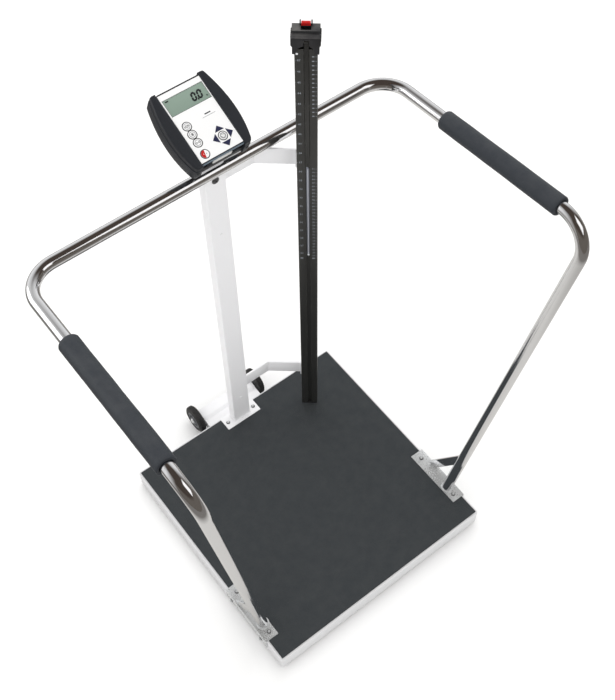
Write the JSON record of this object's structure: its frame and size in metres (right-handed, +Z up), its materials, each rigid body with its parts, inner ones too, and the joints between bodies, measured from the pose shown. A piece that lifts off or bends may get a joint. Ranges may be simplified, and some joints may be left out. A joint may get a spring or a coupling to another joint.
{
  "type": "handrail scale",
  "caption": "Digital handrail scale: low platform with rubber mat, wrap-round handrail with foam grips, tilting display on a column, wheels and a telescopic height rod.",
  "frame": {"origin": "centre of the mat's top face, where the person stands; the floor is 60 mm below", "axes": "+Z up, +Y towards the column and display, +X to the standing person's right"},
  "size_m": [0.8864, 0.6961, 1.306],
  "materials": {
    "white_paint": "powder coat, satin",
    "mat_rubber": "fine pebbled, matt",
    "zinc_plate": "bright zinc plated",
    "chrome": "polished",
    "frame_steel": "primed",
    "cell_aluminium": "machined",
    "foot_black": "moulded",
    "box_grey": "moulded",
    "grip_foam": "closed-cell foam skin",
    "tyre": "ribbed rubber",
    "hub_grey": "moulded",
    "black_anodised": "black anodised",
    "head_plastic": "fine texture",
    "catch_red": "moulded",
    "slate_plastic": "soft-touch",
    "black_plastic": "moulded",
    "yoke_steel": "black powder coat",
    "face_film": "printed film",
    "power_key": "printed film, half red and half white",
    "arrow_navy": "printed film",
    "lcd_green": "grey-green liquid crystal",
    "board_green": "solder mask"
  },
  "bodies": {
    "base": {"platform_deck": "white_paint", "column_post": "white_paint", "wheel_bracket": "white_paint", "rod_bracket_lower": "white_paint", "rod_bracket_upper": "white_paint", "rod_plate_lower": "white_paint", "rod_plate_upper": "white_paint", "rubber_mat": "mat_rubber", "column_foot_plate": "zinc_plate", "handrail_plate_left": "zinc_plate", "handrail_plate_right": "zinc_plate", "wheel_axle": "zinc_plate", "handrail_tube": "chrome", "handrail_strut_left": "chrome", "handrail_strut_right": "chrome", "rail_bolt": "chrome", "base_frame": "frame_steel", "load_cell_front_left": "cell_aluminium", "load_cell_front_right": "cell_aluminium", "load_cell_rear_left": "cell_aluminium", "load_cell_rear_right": "cell_aluminium", "junction_box": "box_grey", "handrail_grip_left": "grip_foam", "handrail_grip_right": "grip_foam", "rod_outer_profile": "black_anodised", "rod_bottom_cap": "head_plastic", "indicator_yoke": "yoke_steel"},
    "wheel_left": {"wheel_tyre_left": "tyre", "wheel_hub_left": "hub_grey"},
    "wheel_right": {"wheel_tyre_right": "tyre", "wheel_hub_right": "hub_grey"},
    "foot_front_left": {"levelling_foot_front_left": "foot_black"},
    "foot_front_right": {"levelling_foot_front_right": "foot_black"},
    "foot_rear_left": {"levelling_foot_rear_left": "foot_black"},
    "foot_rear_right": {"levelling_foot_rear_right": "foot_black"},
    "rod_slide": {"rod_inner_profile": "black_anodised", "rod_head": "head_plastic", "arm_pin": "zinc_plate"},
    "measuring_arm": {"measuring_arm": "black_anodised"},
    "release_catch": {"release_catch": "catch_red"},
    "indicator": {"indicator_front_shell": "slate_plastic", "indicator_rear_shell": "black_plastic", "indicator_bumper_left": "slate_plastic", "indicator_bumper_right": "slate_plastic", "indicator_faceplate": "face_film", "lcd_module": "lcd_green", "main_board": "board_green", "battery_pack": "black_plastic"},
    "tilt_knob_left": {"tilt_knob_left": "black_plastic"},
    "tilt_knob_right": {"tilt_knob_right": "black_plastic"},
    "key_units": {"key_units": "face_film"},
    "key_hold": {"key_hold": "face_film"},
    "key_zero": {"key_zero": "face_film"},
    "key_power": {"key_power": "power_key"},
    "key_enter": {"key_enter": "face_film"},
    "key_arrow_up": {"key_arrow_up": "arrow_navy"},
    "key_arrow_left": {"key_arrow_left": "arrow_navy"},
    "key_arrow_down": {"key_arrow_down": "arrow_navy"},
    "key_arrow_right": {"key_arrow_right": "arrow_navy"}
  },
  "joints": [
    {"name": "wheel_left_spin", "type": "hinge", "parent": "base", "child": "wheel_left", "pos_m": [-0.095, 0.3536, -0.0185], "axis": [1, 0, 0], "continuous": true},
    {"name": "wheel_right_spin", "type": "hinge", "parent": "base", "child": "wheel_right", "pos_m": [0.095, 0.3536, -0.0185], "axis": [1, 0, 0], "continuous": true},
    {"name": "foot_front_left_turn", "type": "hinge", "parent": "base", "child": "foot_front_left", "pos_m": [-0.262, -0.236, -0.05], "axis": [0, 0, 1], "continuous": true},
    {"name": "foot_front_right_turn", "type": "hinge", "parent": "base", "child": "foot_front_right", "pos_m": [0.262, -0.236, -0.05], "axis": [0, 0, 1], "continuous": true},
    {"name": "foot_rear_left_turn", "type": "hinge", "parent": "base", "child": "foot_rear_left", "pos_m": [-0.262, 0.236, -0.05], "axis": [0, 0, 1], "continuous": true},
    {"name": "foot_rear_right_turn", "type": "hinge", "parent": "base", "child": "foot_rear_right", "pos_m": [0.262, 0.236, -0.05], "axis": [0, 0, 1], "continuous": true},
    {"name": "rod_extend", "type": "slide", "parent": "base", "child": "rod_slide", "axis": [0, 0, 1], "range_m": [0, 0.74]},
    {"name": "arm_fold", "type": "hinge", "parent": "rod_slide", "child": "measuring_arm", "pos_m": [0.16112, 0.19363, 1.222], "axis": [-0.7716, 0.6361, 0], "range_deg": [0, 90]},
    {"name": "catch_press", "type": "slide", "parent": "rod_slide", "child": "release_catch", "axis": [0, 0, -1], "range_m": [0, 0.004], "stiffness_N_per_m": 600},
    {"name": "indicator_tilt", "type": "hinge", "parent": "base", "child": "indicator", "pos_m": [0, 0.29868, 0.99998], "axis": [1, 0, 0], "range_deg": [-25, 12]},
    {"name": "tilt_knob_left_turn", "type": "hinge", "parent": "indicator", "child": "tilt_knob_left", "pos_m": [0, 0.29868, 0.99998], "axis": [1, 0, 0], "range_deg": [-180, 180]},
    {"name": "tilt_knob_right_turn", "type": "hinge", "parent": "indicator", "child": "tilt_knob_right", "pos_m": [0, 0.29868, 0.99998], "axis": [1, 0, 0], "range_deg": [-180, 180]},
    {"name": "key_units_press", "type": "slide", "parent": "indicator", "child": "key_units", "axis": [0, 0.4067, -0.9135], "range_m": [0, 0.0005], "stiffness_N_per_m": 900},
    {"name": "key_hold_press", "type": "slide", "parent": "indicator", "child": "key_hold", "axis": [0, 0.4067, -0.9135], "range_m": [0, 0.0005], "stiffness_N_per_m": 900},
    {"name": "key_zero_press", "type": "slide", "parent": "indicator", "child": "key_zero", "axis": [0, 0.4067, -0.9135], "range_m": [0, 0.0005], "stiffness_N_per_m": 900},
    {"name": "key_power_press", "type": "slide", "parent": "indicator", "child": "key_power", "axis": [0, 0.4067, -0.9135], "range_m": [0, 0.0005], "stiffness_N_per_m": 900},
    {"name": "key_enter_press", "type": "slide", "parent": "indicator", "child": "key_enter", "axis": [0, 0.4067, -0.9135], "range_m": [0, 0.0005], "stiffness_N_per_m": 900},
    {"name": "key_arrow_up_press", "type": "slide", "parent": "indicator", "child": "key_arrow_up", "axis": [0, 0.4067, -0.9135], "range_m": [0, 0.0005], "stiffness_N_per_m": 900},
    {"name": "key_arrow_left_press", "type": "slide", "parent": "indicator", "child": "key_arrow_left", "axis": [0, 0.4067, -0.9135], "range_m": [0, 0.0005], "stiffness_N_per_m": 900},
    {"name": "key_arrow_down_press", "type": "slide", "parent": "indicator", "child": "key_arrow_down", "axis": [0, 0.4067, -0.9135], "range_m": [0, 0.0005], "stiffness_N_per_m": 900},
    {"name": "key_arrow_right_press", "type": "slide", "parent": "indicator", "child": "key_arrow_right", "axis": [0, 0.4067, -0.9135], "range_m": [0, 0.0005], "stiffness_N_per_m": 900}
  ]
}
